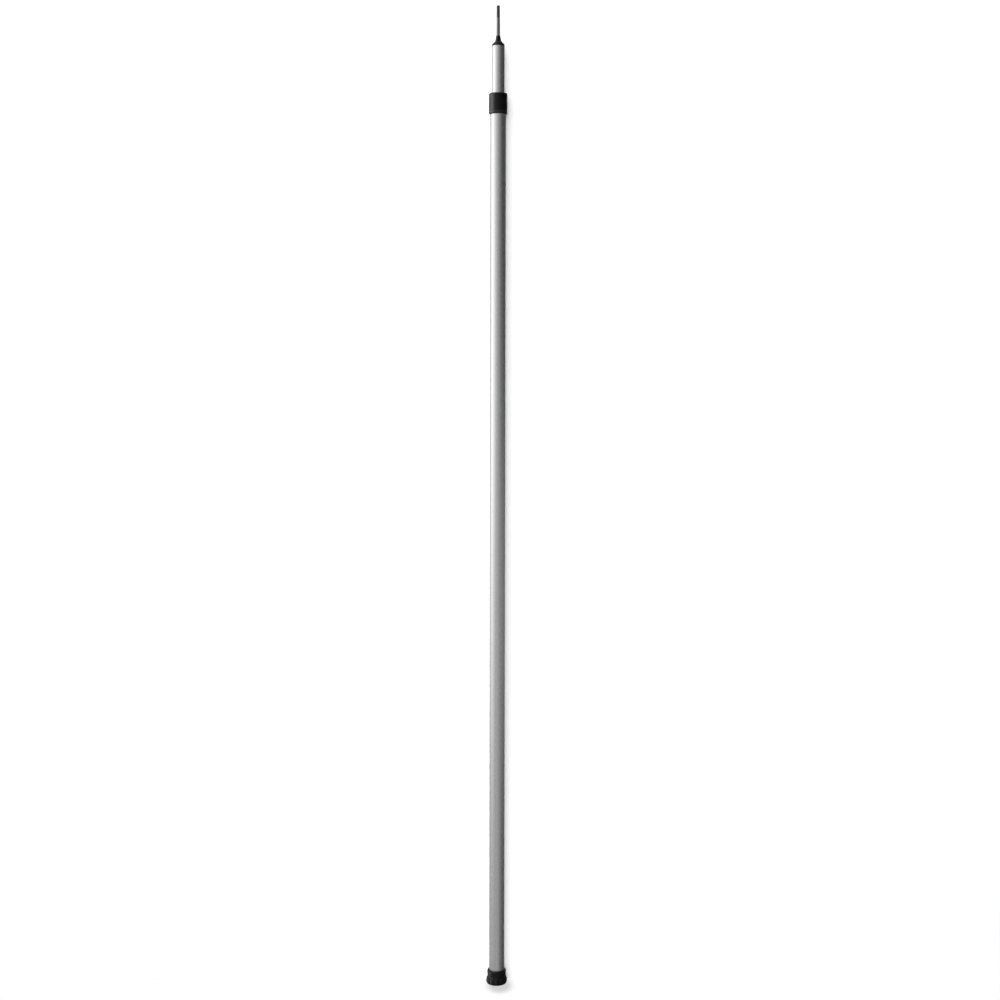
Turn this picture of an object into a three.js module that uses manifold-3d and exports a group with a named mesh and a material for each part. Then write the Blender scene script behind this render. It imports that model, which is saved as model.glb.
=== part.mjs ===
// Telescopic upright pole for an awning, tarp or tent.
// A thin aluminium tube slides out of a wider one, and a twist lock inside the wider tube holds it.
// A black cone with a steel spike closes the top, a black collar guides the inner tube,
// and a lobed rubber ferrule is the foot. Millimetres, +Z up along the pole, front towards -Y,
// origin at the centre of the foot's face on the ground, pole fully shortened.

import * as THREE from "three";
import { mergeVertices } from "three/addons/utils/BufferGeometryUtils.js";
import Module from "manifold-3d";

const wasm = await Module();
wasm.setup();

const { degToRad, smoothstep } = THREE.MathUtils;

// ---------- driving dimensions ----------
const TUBE_SEGMENTS = 40; // facets round a tube
const FIT_GAP = 0.1; // axial gap under a piece that rests on another

const OUTER_R = 13.0; // outer tube, 26 x 1.7
const OUTER_BORE_R = 11.3;
const OUTER_BOTTOM = 7.9;
const OUTER_TOP = 1524.5;

const INNER_R = 10.5; // inner tube, 21 x 1.4
const INNER_BORE_R = 9.1;
const INNER_BOTTOM = 49.0;
const INNER_TOP = 1606.15;
const INNER_LENGTH = INNER_TOP - INNER_BOTTOM;

const COLLAR_BOTTOM = 1494.8;
const COLLAR_H = 34.1;
const COLLAR_R = 15.3;
const COLLAR_BODY_R = COLLAR_R - 0.1; // above the bottom band

const BUSH_LENGTH = 80.0; // sleeve of the guide bush inside the tube's mouth
const BUSH_FLANGE_TOP = FIT_GAP + 1.5;
const BUSH_BORE_R = 10.65;
const BUSH_SPLIT_W = 1.2;

const FOOT_H = 24.7;
const FOOT_R = 18.2; // over the lobes
const FOOT_FLOOR = 6.0;
const FOOT_BORE_R = 13.1;

const SPIKE_R = 2.75;
const SPIKE_TOP = 1672.0;
const SPIKE_RISE = SPIKE_TOP - INNER_TOP;
const TIP_BORE_R = 2.9;
const TIP_H = 16.6; // cone above the tube's end

// Twist lock: heights are from the inner tube's bottom end.
const PIN_Z = 17.0; // cross pin through the inner tube and the lock plug
const PIN_R = 1.55;
const PIN_LENGTH = 20.0;
const PIN_HOLE_R = 1.7;

const STUD_BOTTOM = -40.0;
const STUD_TOP = 10.0;
const STUD_END_R = 3.0; // turned end below the thread
const SNAP_GROOVE_BOTTOM = -38.4;
const SNAP_GROOVE_TOP = -37.4;
const SNAP_RING_Z = -38.25; // underside of the ring

const PITCH = 3.0; // twist-lock thread, right-handed, one start
const THREAD_TOP = -17.0;
const THREAD_BOTTOM = -35.9;
const THREAD_MINOR_R = 3.2;
const THREAD_MAJOR_R = 4.0;
const THREAD_ROOT_W = 1.75;
const THREAD_CREST_W = 0.7;
const THREAD_OVERLAP = 0.35; // how far the ridge is sunk below its root radius
const THREAD_GAP = 0.3; // clearance of the wedge's thread
const THREAD_STEPS = 16; // facets round one turn

const SLEEVE_TOP = -4.3;
const SLEEVE_BOTTOM = -30.2;
const SLEEVE_R = 11.0;
const SLEEVE_MOUTH_R = 9.15; // tapered bore at the bottom
const TAPER_TOP = -14.0;
const TAPER = Math.tan(degToRad(8.8));
const SLOT_W = 3.0; // sleeve's slots
const DRAG_RING_Z = -8.8;
const DRAG_GROOVE_HALF_H = 1.0;

const WEDGE_BOTTOM = -35.8;
const WEDGE_TOP = -21.8;
const WEDGE_GAP = 0.6; // radial gap to the sleeve's taper when loose
const WEDGE_EDGE = 0.5; // broken edges top and bottom
const FIN_W = 2.3; // wedge's fins that run in the slots

const finish = {
  tube: { color: 0xb9bbbd, roughness: 0.32, metalness: 1.0 },
  plastic: { color: 0x1b1b1c, roughness: 0.5, metalness: 0.0 },
  rubber: { color: 0x131313, roughness: 0.75, metalness: 0.0 },
  steel: { color: 0x76777a, roughness: 0.35, metalness: 1.0 },
  acetal: { color: 0xe8e6df, roughness: 0.45, metalness: 0.0 },
  grey: { color: 0x55575a, roughness: 0.55, metalness: 0.0 },
};

// ---------- helpers ----------
// A solid of revolution about Z. Points are [radius, height],
// anticlockwise with the radius to the right.
function lathe(points, segments = TUBE_SEGMENTS) {
  const outline = points.map(([radius, z]) => new THREE.Vector2(radius, z));
  return new THREE.LatheGeometry(outline, segments).rotateX(Math.PI / 2);
}

// The same, closed back on its first point: a ring or a tube.
function ring(points, segments) {
  return lathe([...points, points[0]], segments);
}

// Turns a geometry into a manifold for cutting and joining.
function solid(geometry) {
  geometry.deleteAttribute("normal");
  geometry.deleteAttribute("uv");
  const merged = mergeVertices(geometry, 1e-4);
  return new wasm.Manifold(
    new wasm.Mesh({
      numProp: 3,
      vertProperties: new Float32Array(merged.attributes.position.array),
      triVerts: new Uint32Array(merged.index.array),
    }),
  );
}

function geometryOf(manifold) {
  const { numVert, numProp, vertProperties, triVerts } = manifold.getMesh();
  const positions = new Float32Array(numVert * 3);
  for (let i = 0; i < numVert; i++) {
    positions.set(vertProperties.subarray(i * numProp, i * numProp + 3), i * 3);
  }
  return new THREE.BufferGeometry()
    .setAttribute("position", new THREE.BufferAttribute(positions, 3))
    .setIndex(new THREE.BufferAttribute(new Uint32Array(triVerts), 1));
}

// Two flat bars crossed on the axis, one along Y and one along X.
function crossedBars(width, length, height, bottom) {
  return [0, Math.PI / 2].map((turn) =>
    solid(
      new THREE.BoxGeometry(width, length, height)
        .translate(0, 0, bottom + height / 2)
        .rotateZ(turn),
    ),
  );
}

// A ring with a gap centred on +X, extruded up from z = 0.
function splitRing({ radius, bore, halfGap, depth, curveSegments }) {
  const start = degToRad(halfGap);
  const end = 2 * Math.PI - start;
  const shape = new THREE.Shape();
  shape.absarc(0, 0, radius, start, end, false);
  shape.absarc(0, 0, bore, end, start, true);
  return new THREE.ExtrudeGeometry(shape, { depth, bevelEnabled: false, curveSegments });
}

// A right-hand helical ridge: a trapezoid extruded straight, then wrapped round the axis.
function helix({ rootR, crestR, rootW, crestW, bottom, top }) {
  const profile = new THREE.Shape([
    new THREE.Vector2(rootR, -rootW / 2),
    new THREE.Vector2(crestR, -crestW / 2),
    new THREE.Vector2(crestR, crestW / 2),
    new THREE.Vector2(rootR, rootW / 2),
  ]);
  const steps = Math.round(((top - bottom) / PITCH) * THREAD_STEPS);
  const straight = new THREE.ExtrudeGeometry(profile, {
    depth: steps,
    steps,
    bevelEnabled: false,
  });
  const position = straight.attributes.position;
  for (let i = 0; i < position.count; i++) {
    const radius = position.getX(i);
    const along = position.getY(i);
    const turn = position.getZ(i) / THREAD_STEPS;
    const angle = turn * 2 * Math.PI + (bottom / PITCH) * 2 * Math.PI;
    position.setXYZ(
      i,
      radius * Math.cos(angle),
      radius * Math.sin(angle),
      bottom + turn * PITCH + along,
    );
  }
  // Wrapping turns the faces inside out, so each triangle's last two corners change places.
  const coords = position.array;
  for (let i = 0; i < coords.length; i += 9) {
    const second = coords.slice(i + 3, i + 6);
    coords.copyWithin(i + 3, i + 6, i + 9);
    coords.set(second, i + 6);
  }
  return solid(straight);
}

function group(parent, name, z = 0) {
  const made = new THREE.Group();
  made.name = name;
  made.position.z = z;
  parent?.add(made);
  return made;
}

function part(parent, name, geometry, look, z = 0) {
  const mesh = new THREE.Mesh(geometry, new THREE.MeshStandardMaterial(finish[look]));
  mesh.name = name;
  mesh.position.z = z;
  parent.add(mesh);
}

// ---------- outer section ----------
// Plain drawn tube, deburred at both ends.
function outerTube() {
  return ring([
    [OUTER_BORE_R + 0.25, OUTER_BOTTOM],
    [OUTER_R - 0.3, OUTER_BOTTOM],
    [OUTER_R, OUTER_BOTTOM + 0.3],
    [OUTER_R, OUTER_TOP - 0.3],
    [OUTER_R - 0.3, OUTER_TOP],
    [OUTER_BORE_R + 0.25, OUTER_TOP],
    [OUTER_BORE_R, OUTER_TOP - 0.25],
    [OUTER_BORE_R, OUTER_BOTTOM + 0.25],
  ]);
}

// Moulded cover over the tube's mouth: rounded top shoulder, a fine groove above a 5 mm
// bottom band, and an inner lip that keeps the guide bush in.
function collar() {
  return ring([
    [13.1, 0], [14.5, 0], [COLLAR_R, 0.8], [COLLAR_R, 5.0],
    [14.95, 5.3], [14.95, 5.6], [COLLAR_BODY_R, 6.0], [COLLAR_BODY_R, 30.2],
    [14.75, 31.9], [13.7, 33.4], [12.2, COLLAR_H], [11.2, COLLAR_H],
    [10.8, 33.7], [10.8, 31.5], [13.1, 31.5],
  ]);
}

// Thin flanged sleeve, split down the back so it can be sprung into the tube.
// It takes up the gap between the tubes and stops the lock from being pulled out.
function guideBush() {
  const sleeve = solid(
    ring([
      [BUSH_BORE_R + 0.15, -BUSH_LENGTH],
      [10.95, -BUSH_LENGTH],
      [11.15, -BUSH_LENGTH + 0.6],
      [11.15, FIT_GAP],
      [12.7, FIT_GAP],
      [12.7, BUSH_FLANGE_TOP],
      [BUSH_BORE_R + 0.3, BUSH_FLANGE_TOP],
      [BUSH_BORE_R, BUSH_FLANGE_TOP - 0.3],
      [BUSH_BORE_R, -BUSH_LENGTH + 0.6],
    ]),
  );
  const split = new THREE.BoxGeometry(BUSH_SPLIT_W, 6, BUSH_LENGTH + 10);
  split.translate(0, 11.5, -BUSH_LENGTH / 2);
  return geometryOf(sleeve.subtract(solid(split)));
}

// Rubber ferrule. A plain sleeve with a thick bead grips the tube; below a slight waist
// it widens into lobes and a tread of two rings.
const FOOT_PROFILE = [
  // [radius, height]
  [0, 1.2], [3.4, 1.2], [3.9, 0], [7.4, 0], [7.9, 1.2], [10.2, 1.2],
  [10.7, 0], [14.4, 0], [16.6, 0.8], [17.8, 2.6], [FOOT_R, 5.2], [17.9, 8.4],
  [17.0, 11.6], [15.95, 13.9], [15.65, 14.8], [15.95, 15.8], [16.25, 18.0], [16.25, 21.8],
  [15.5, 24.0], [14.1, FOOT_H], [13.6, FOOT_H], [FOOT_BORE_R, 24.2],
  [FOOT_BORE_R, FOOT_FLOOR], [0, FOOT_FLOOR],
];
const LOBES = {
  count: 12,
  depth: 1.4,
  turn: degToRad(-87), // places a lobe 3 degrees right of the front
  minR: 14.9, // points nearer the axis stay round
  rise: [0.2, 3.2], // heights over which the grooves deepen
  fade: [11.0, 15.4], // heights over which they die out
};

function foot() {
  const geometry = lathe(FOOT_PROFILE, 60);
  const position = geometry.attributes.position;
  for (let i = 0; i < position.count; i++) {
    const x = position.getX(i);
    const y = position.getY(i);
    const z = position.getZ(i);
    const radius = Math.hypot(x, y);
    if (radius < LOBES.minR) continue;
    const strength = smoothstep(z, ...LOBES.rise) * (1 - smoothstep(z, ...LOBES.fade));
    const angle = Math.atan2(y, x) - LOBES.turn;
    const groove = 1 - Math.abs(Math.cos((angle * LOBES.count) / 2));
    const scale = (radius - LOBES.depth * strength * groove) / radius;
    position.setXYZ(i, x * scale, y * scale, z);
  }
  return geometry;
}

// Steel disc under the tube's end, so it can't cut through the rubber.
function footWasher() {
  return ring([[3.2, FIT_GAP], [12.7, FIT_GAP], [12.7, 1.7], [3.2, 1.7]]);
}

// ---------- inner section ----------
// Cutter along X for the cross pin's hole.
function pinHole() {
  return solid(
    new THREE.CylinderGeometry(PIN_HOLE_R, PIN_HOLE_R, 30, 16)
      .rotateZ(Math.PI / 2)
      .translate(0, 0, PIN_Z),
  );
}

function innerTube() {
  const tube = ring([
    [INNER_BORE_R + 0.2, 0],
    [INNER_R - 0.25, 0],
    [INNER_R, 0.25],
    [INNER_R, INNER_LENGTH - 0.25],
    [INNER_R - 0.25, INNER_LENGTH],
    [INNER_BORE_R + 0.2, INNER_LENGTH],
    [INNER_BORE_R, INNER_LENGTH - 0.2],
    [INNER_BORE_R, 0.2],
  ]);
  return geometryOf(solid(tube).subtract(pinHole()));
}

// Cone that sweeps out from the spike to the tube's edge, on a barbed stem pressed into the tube.
function tipPlug() {
  return ring([
    [TIP_BORE_R, -24.0], [7.6, -24.0], [8.95, -19.2], [8.45, -18.9],
    [8.45, -17.4], [8.95, -13.3], [8.95, FIT_GAP], [10.75, FIT_GAP],
    [10.75, 0.9], [10.35, 2.1], [9.3, 3.6], [6.6, 6.2], [5.5, 7.4],
    [4.8, 8.9], [4.3, 10.8], [3.7, 14.6], [3.4, TIP_H], [TIP_BORE_R, TIP_H],
    [TIP_BORE_R, -12.4], [4.45, -12.4], [4.45, -15.6], [TIP_BORE_R, -15.6],
  ]);
}

// Plain steel rod with an anchoring shoulder moulded into the plug.
function spike() {
  return lathe(
    [
      [0, -23.0], [2.25, -23.0], [SPIKE_R, -22.5], [SPIKE_R, -15.5],
      [4.3, -15.5], [4.3, -12.5], [SPIKE_R, -12.5], [SPIKE_R, SPIKE_RISE - 0.9],
      [2.5, SPIKE_RISE - 0.35], [1.9, SPIKE_RISE], [0, SPIKE_RISE],
    ],
    24,
  );
}

// ---------- twist lock, turning with the inner tube ----------
// Plug pressed into the tube's bottom end, bored from below for the stud.
function lockPlug() {
  const body = lathe([
    [0, -3.1], [9.9, -3.1], [10.25, -2.75], [10.25, -FIT_GAP],
    [8.9, -FIT_GAP], [8.9, 22.6], [8.1, 24.0], [0, 24.0],
  ]);
  const bore = lathe([[0, -4], [3.75, -4], [3.75, 10.5], [0, 10.5]], 24);
  return geometryOf(solid(body).subtract(solid(bore)).subtract(pinHole()));
}

// Rolled spring pin along X through the tube and the plug, its slit facing down.
function plugSpringPin() {
  return splitRing({
    radius: PIN_R,
    bore: 0.95,
    halfGap: 20,
    depth: PIN_LENGTH,
    curveSegments: 8,
  })
    .translate(0, 0, -PIN_LENGTH / 2)
    .rotateY(Math.PI / 2);
}

// Plain shank in the plug, a right-hand thread where the wedge runs,
// and a turned end with a groove.
function lockStud() {
  const core = lathe(
    [
      [0, STUD_BOTTOM],
      [2.6, STUD_BOTTOM],
      [STUD_END_R, STUD_BOTTOM + 0.4],
      [STUD_END_R, SNAP_GROOVE_BOTTOM],
      [2.4, SNAP_GROOVE_BOTTOM],
      [2.4, SNAP_GROOVE_TOP],
      [STUD_END_R, SNAP_GROOVE_TOP],
      [STUD_END_R, THREAD_BOTTOM],
      [THREAD_MINOR_R, THREAD_BOTTOM],
      [THREAD_MINOR_R, THREAD_TOP],
      [3.6, THREAD_TOP + 0.6],
      [3.6, STUD_TOP - 0.8],
      [3.0, STUD_TOP],
      [0, STUD_TOP],
    ],
    THREAD_STEPS,
  );
  const ridge = helix({
    rootR: THREAD_MINOR_R - THREAD_OVERLAP,
    crestR: THREAD_MAJOR_R,
    rootW: THREAD_ROOT_W,
    crestW: THREAD_CREST_W,
    bottom: THREAD_BOTTOM - 3,
    top: THREAD_TOP + 3,
  });
  // Trims the ridge to the thread's length, with tapered ends.
  const threadZone = lathe(
    [
      [0, THREAD_BOTTOM],
      [THREAD_MINOR_R, THREAD_BOTTOM],
      [4.3, THREAD_BOTTOM + 1.1],
      [4.3, THREAD_TOP - 0.7],
      [3.5, THREAD_TOP + 0.1],
      [0, THREAD_TOP + 0.1],
    ],
    THREAD_STEPS,
  );
  return geometryOf(solid(core).add(ridge.intersect(solid(threadZone))));
}

// Lets the stud turn while the sleeve stands still.
function thrustWasher() {
  return ring([[4.2, -4.2], [10.0, -4.2], [10.0, -3.25], [4.2, -3.25]]);
}

// The stop washer and the snap ring keep the wedge on the stud.
function stopWasher() {
  return ring([[3.15, -37.25], [7.4, -37.25], [7.4, -36.05], [3.15, -36.05]], 32);
}

function snapRing() {
  return splitRing({ radius: 4.6, bore: 2.5, halfGap: 38, depth: 0.7, curveSegments: 12 });
}

// ---------- lock pieces that don't turn with the inner tube ----------
// Radius of the sleeve's tapered bore, narrowing upwards.
function taperR(z) {
  return SLEEVE_MOUTH_R - (z - SLEEVE_BOTTOM) * TAPER;
}

// Four fingers that the wedge spreads against the outer tube's wall.
function expanderSleeve() {
  const body = ring([
    [SLEEVE_MOUTH_R, SLEEVE_BOTTOM],
    [10.75, SLEEVE_BOTTOM],
    [SLEEVE_R, SLEEVE_BOTTOM + 0.5],
    [SLEEVE_R, DRAG_RING_Z - DRAG_GROOVE_HALF_H],
    [9.65, DRAG_RING_Z - DRAG_GROOVE_HALF_H],
    [9.65, DRAG_RING_Z + DRAG_GROOVE_HALF_H],
    [SLEEVE_R, DRAG_RING_Z + DRAG_GROOVE_HALF_H],
    [SLEEVE_R, SLEEVE_TOP - 0.4],
    [10.6, SLEEVE_TOP],
    [4.4, SLEEVE_TOP],
    [4.4, -12.0],
    [taperR(TAPER_TOP), TAPER_TOP],
  ]);
  const [slotY, slotX] = crossedBars(SLOT_W, 26, 19.0, SLEEVE_BOTTOM - 1);
  return geometryOf(solid(body).subtract(slotY).subtract(slotX));
}

// Rubs on the tube's wall so that the sleeve stands still while the inner tube is twisted.
function dragRing() {
  return new THREE.TorusGeometry(10.43, 0.72, 8, TUBE_SEGMENTS);
}

// A nut with a tapered outside and four fins in the sleeve's slots.
function wedgeNut() {
  const wedgeR = (z) => taperR(z) - WEDGE_GAP;
  const body = lathe([
    [0, WEDGE_BOTTOM],
    [wedgeR(WEDGE_BOTTOM) - WEDGE_EDGE, WEDGE_BOTTOM],
    [wedgeR(WEDGE_BOTTOM + WEDGE_EDGE), WEDGE_BOTTOM + WEDGE_EDGE],
    [wedgeR(WEDGE_TOP - WEDGE_EDGE), WEDGE_TOP - WEDGE_EDGE],
    [wedgeR(WEDGE_TOP) - WEDGE_EDGE, WEDGE_TOP],
    [0, WEDGE_TOP],
  ]);
  const [finY, finX] = crossedBars(FIN_W, 20.8, 10.2, WEDGE_BOTTOM + 0.3);
  const boreR = THREAD_MINOR_R + THREAD_GAP;
  const bore = lathe(
    [
      [0, WEDGE_BOTTOM - 1],
      [boreR, WEDGE_BOTTOM - 1],
      [boreR, WEDGE_TOP + 1],
      [0, WEDGE_TOP + 1],
    ],
    THREAD_STEPS,
  );
  const thread = helix({
    rootR: boreR - THREAD_OVERLAP,
    crestR: THREAD_MAJOR_R + THREAD_GAP,
    rootW: THREAD_ROOT_W + 2 * THREAD_GAP - 0.39,
    crestW: THREAD_CREST_W + 2 * THREAD_GAP,
    bottom: WEDGE_BOTTOM - 2.6,
    top: WEDGE_TOP + 2.6,
  });
  return geometryOf(solid(body).add(finY.add(finX)).subtract(solid(bore)).subtract(thread));
}

// ---------- assembly ----------
const pole = group(null, "telescopic_pole");

const outer = group(pole, "outer_section");
part(outer, "outer_tube", outerTube(), "tube");
part(outer, "collar", collar(), "plastic", COLLAR_BOTTOM);
part(outer, "guide_bush", guideBush(), "acetal", OUTER_TOP);
part(outer, "foot", foot(), "rubber");
part(outer, "foot_washer", footWasher(), "steel", FOOT_FLOOR);

const inner = group(pole, "inner_section");
part(inner, "inner_tube", innerTube(), "tube", INNER_BOTTOM);
part(inner, "tip_plug", tipPlug(), "plastic", INNER_TOP);
part(inner, "spike", spike(), "steel", INNER_TOP);

const lock = group(inner, "twist_lock", INNER_BOTTOM);
part(lock, "lock_plug", lockPlug(), "grey");
part(lock, "plug_spring_pin", plugSpringPin(), "steel", PIN_Z);
part(lock, "lock_stud", lockStud(), "steel");
part(lock, "thrust_washer", thrustWasher(), "acetal");
part(lock, "stop_washer", stopWasher(), "steel");
part(lock, "snap_ring", snapRing(), "steel", SNAP_RING_Z);

const carriage = group(pole, "lock_carriage", INNER_BOTTOM);
part(carriage, "expander_sleeve", expanderSleeve(), "grey");
part(carriage, "drag_ring", dragRing(), "rubber", DRAG_RING_Z);

const wedge = group(pole, "lock_wedge", INNER_BOTTOM);
part(wedge, "wedge_nut", wedgeNut(), "acetal");

export default pole;
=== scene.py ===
import math

import bmesh
import bpy
from mathutils import Matrix, Vector


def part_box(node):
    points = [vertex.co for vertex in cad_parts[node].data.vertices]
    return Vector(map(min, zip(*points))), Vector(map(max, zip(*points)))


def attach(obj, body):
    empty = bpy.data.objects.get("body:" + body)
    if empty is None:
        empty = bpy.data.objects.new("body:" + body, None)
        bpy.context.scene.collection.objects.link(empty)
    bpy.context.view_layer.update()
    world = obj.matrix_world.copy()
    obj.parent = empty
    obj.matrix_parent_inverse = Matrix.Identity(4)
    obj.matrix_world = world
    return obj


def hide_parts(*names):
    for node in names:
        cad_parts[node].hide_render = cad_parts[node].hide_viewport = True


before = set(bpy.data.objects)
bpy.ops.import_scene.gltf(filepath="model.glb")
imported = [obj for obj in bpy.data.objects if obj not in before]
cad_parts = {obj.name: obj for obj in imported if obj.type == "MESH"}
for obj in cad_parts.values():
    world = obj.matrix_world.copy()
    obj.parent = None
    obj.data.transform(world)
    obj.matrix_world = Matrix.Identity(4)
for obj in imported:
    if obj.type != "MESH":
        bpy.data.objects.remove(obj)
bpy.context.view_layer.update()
MM = 0.001
SHARP_ANGLE = 32  # degrees between faces from which an edge is drawn sharp
scene = bpy.context.scene


def extent(node):
    """Bottom, top and radius of a CAD node, in mm."""
    lo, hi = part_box(node)
    return lo.z / MM, hi.z / MM, (hi.x - lo.x) / 2 / MM


TUBE_BOTTOM, TUBE_TOP, TUBE_R = extent("outer_tube")
INNER_BOTTOM, INNER_TOP, INNER_R = extent("inner_tube")
COLLAR_BOTTOM, COLLAR_TOP, COLLAR_R = extent("collar")
SPIKE_TOP = extent("spike")[1]
TIP_TOP = extent("tip_plug")[1]
FOOT_TOP = extent("foot")[1]

TUBE_BORE_R = 11.3
INNER_BORE_R = 9.1
PIN_Z = INNER_BOTTOM + 17.0  # cross pin through the inner tube and the lock plug
PIN_HOLE_R = 1.68


# ------------------------------------------------------------------ outlines, as (r, z) in mm
def rounded(points, closed=True, steps=5):
    """Points are (r, z) or (r, z, fillet). Each corner with a fillet becomes an arc."""
    outline = []
    count = len(points)
    for i, (r, z, *fillet) in enumerate(points):
        if not fillet or (not closed and i in (0, count - 1)):
            outline.append((r, z))
            continue
        corner = Vector((r, z))
        back = Vector(points[i - 1][:2]) - corner
        ahead = Vector(points[(i + 1) % count][:2]) - corner
        back_length, ahead_length = back.length, ahead.length
        back.normalize()
        ahead.normalize()
        half = math.acos(max(-1.0, min(1.0, back.dot(ahead)))) / 2
        if half > math.radians(88.5):  # nearly straight: nothing to round
            outline.append((r, z))
            continue
        trim = min(fillet[0] / math.tan(half), back_length * 0.49, ahead_length * 0.49)
        radius = trim * math.tan(half)
        centre = corner + (back + ahead).normalized() * (radius / math.sin(half))
        start, end = corner + back * trim - centre, corner + ahead * trim - centre
        sweep = math.atan2(start.x * end.y - start.y * end.x, start.dot(end))
        for k in range(steps + 1):
            t = sweep * k / steps
            cos, sin = math.cos(t), math.sin(t)
            point = centre + Vector((start.x * cos - start.y * sin, start.x * sin + start.y * cos))
            outline.append((point.x, point.y))
    return outline


def curve(points, per=5):
    """A smooth Catmull-Rom run through (r, z) points."""
    outline = []
    for i in range(len(points) - 1):
        p0 = Vector(points[max(i - 1, 0)])
        p1, p2 = Vector(points[i]), Vector(points[i + 1])
        p3 = Vector(points[min(i + 2, len(points) - 1)])
        for k in range(per):
            t = k / per
            point = 0.5 * (
                2 * p1
                + (p2 - p0) * t
                + (2 * p0 - 5 * p1 + 4 * p2 - p3) * t * t
                + (3 * p1 - p0 - 3 * p2 + p3) * t * t * t
            )
            outline.append((point.x, point.y))
    outline.append(tuple(points[-1]))
    return outline


def along(r, z0, z1, step=40.0):
    """Points up or down a straight wall, so that long faces stay well shaped."""
    n = max(1, int(abs(z1 - z0) / step))
    return [(r, z0 + (z1 - z0) * k / n) for k in range(1, n)]


def ring_outline(inner_r, outer_r, bottom, top, fillets, steps=4):
    """A rectangular section. Fillets: inner bottom, outer bottom, outer top, inner top."""
    corners = ((inner_r, bottom), (outer_r, bottom), (outer_r, top), (inner_r, top))
    return rounded([(*corner, f) for corner, f in zip(corners, fillets)], steps=steps)


def smooth01(t):
    t = max(0.0, min(1.0, t))
    return t * t * (3 - 2 * t)


def mould_line(r, z, angle, amount, width, min_r, turn=0.0):
    """A fine raised line on two opposite sides, where the mould's halves met."""
    if r < min_r:
        return r, z
    away = math.remainder(angle - turn, math.pi)
    return r + amount * math.exp(-((away / width) ** 2)), z


# ------------------------------------------------------------------ meshes
def revolve(profile, segs, closed=True, shape=None, arc=None):
    """A bmesh of the (r, z) profile turned about Z. shape(r, z, angle) may move each point.
    arc=(from, to) turns only part of the way and caps both ends."""
    bm = bmesh.new()
    full = arc is None
    a0, a1 = (0.0, 2 * math.pi) if full else arc
    count = segs if full else segs + 1
    rings = []
    for r, z in profile:
        if r < 1e-6:
            rings.append([bm.verts.new((0, 0, z * MM))])
            continue
        row = []
        for i in range(count):
            a = a0 + (a1 - a0) * i / segs
            rr, zz = shape(r, z, a) if shape else (r, z)
            row.append(bm.verts.new((rr * math.cos(a) * MM, rr * math.sin(a) * MM, zz * MM)))
        rings.append(row)
    n = len(profile)
    for k in range(n if closed else n - 1):
        lo, hi = rings[k], rings[(k + 1) % n]
        if len(lo) == 1 and len(hi) == 1:
            continue
        for i in range(segs):
            j = (i + 1) % count
            if len(lo) == 1:
                bm.faces.new((lo[0], hi[j], hi[i]))
            elif len(hi) == 1:
                bm.faces.new((lo[i], lo[j], hi[0]))
            else:
                bm.faces.new((lo[i], lo[j], hi[j], hi[i]))
    if not full:
        bm.faces.new([row[0] for row in rings])
        bm.faces.new([row[-1] for row in reversed(rings)])
    return bm


def raise_by(bm, z):
    bmesh.ops.translate(bm, verts=bm.verts, vec=(0, 0, z * MM))


def shade(mesh, angle=SHARP_ANGLE):
    mesh.shade_smooth()
    mesh.set_sharp_from_angle(angle=math.radians(angle))


def mesh_object(name, bm):
    bmesh.ops.recalc_face_normals(bm, faces=bm.faces)
    mesh = bpy.data.meshes.new(name)
    bm.to_mesh(mesh)
    bm.free()
    ob = bpy.data.objects.new(name, mesh)
    scene.collection.objects.link(ob)
    return ob


def piece(name, bm, body, material, replaces, z=0.0, angle=SHARP_ANGLE):
    """Makes the object, puts it on its body and hides the CAD node that it stands for."""
    raise_by(bm, z)
    ob = mesh_object(name, bm)
    shade(ob.data, angle)
    ob.data.materials.append(material)
    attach(ob, body)
    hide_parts(replaces)
    return ob


def pin_hole():
    """A rod across the pole, along X, that cuts the pin's hole."""
    bm = bmesh.new()
    bmesh.ops.create_cone(
        bm,
        cap_ends=True,
        segments=32,
        radius1=PIN_HOLE_R * MM,
        radius2=PIN_HOLE_R * MM,
        depth=30.0 * MM,
    )
    bm.transform(Matrix.Translation((0, 0, PIN_Z * MM)) @ Matrix.Rotation(math.pi / 2, 4, "Y"))
    return bm


def cut(target, tools):
    """Exact boolean subtraction, applied at once so that no helper is left."""
    for bm in tools:
        tool = mesh_object("tool", bm)
        tool_mesh = tool.data
        mod = target.modifiers.new("cut", "BOOLEAN")
        mod.operation = "DIFFERENCE"
        mod.solver = "EXACT"
        mod.object = tool
        depsgraph = bpy.context.evaluated_depsgraph_get()
        made = bpy.data.meshes.new_from_object(target.evaluated_get(depsgraph))
        target.modifiers.remove(mod)
        old = target.data
        name = old.name
        target.data = made
        bpy.data.meshes.remove(old)
        made.name = name
        bpy.data.objects.remove(tool)
        bpy.data.meshes.remove(tool_mesh)
    shade(target.data)


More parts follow.
